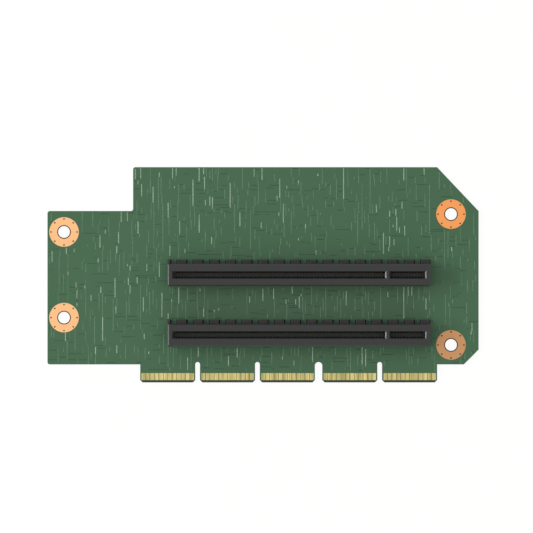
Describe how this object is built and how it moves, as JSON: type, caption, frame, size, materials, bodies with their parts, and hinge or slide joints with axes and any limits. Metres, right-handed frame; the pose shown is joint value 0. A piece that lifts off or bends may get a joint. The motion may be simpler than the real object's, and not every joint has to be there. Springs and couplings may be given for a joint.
{
  "type": "pcie riser card",
  "caption": "Rigid riser board with gold edge fingers along one edge, keyed full-length card slots and copper-ringed mounting holes.",
  "frame": {"origin": "middle of the board's outline, level with the copper lands and fingers under its back face", "axes": "+X along the board towards the keyed end of the slots, +Y across it away from the edge fingers, +Z out of the component side"},
  "size_m": [0.146, 0.0728, 0.0129],
  "materials": {
    "board_laminate": "satin green solder mask",
    "land_copper": "bare copper",
    "finger_gold": "gold plating",
    "housing_moulding": "moulded black thermoplastic",
    "contact_alloy": "plated spring alloy"
  },
  "bodies": {
    "root": {"circuit_board": "board_laminate", "ground_lands_front": "land_copper", "ground_lands_back": "land_copper", "edge_fingers_front_1": "finger_gold", "edge_fingers_front_2": "finger_gold", "edge_fingers_front_3": "finger_gold", "edge_fingers_front_4": "finger_gold", "edge_fingers_front_5": "finger_gold", "edge_fingers_back_1": "finger_gold", "edge_fingers_back_2": "finger_gold", "edge_fingers_back_3": "finger_gold", "edge_fingers_back_4": "finger_gold", "edge_fingers_back_5": "finger_gold", "upper_slot_housing": "housing_moulding", "upper_contacts_a_long": "contact_alloy", "upper_contacts_a_short": "contact_alloy", "upper_contacts_b_long": "contact_alloy", "upper_contacts_b_short": "contact_alloy", "lower_slot_housing": "housing_moulding", "lower_contacts_a_long": "contact_alloy", "lower_contacts_a_short": "contact_alloy", "lower_contacts_b_long": "contact_alloy", "lower_contacts_b_short": "contact_alloy"}
  },
  "joints": []
}
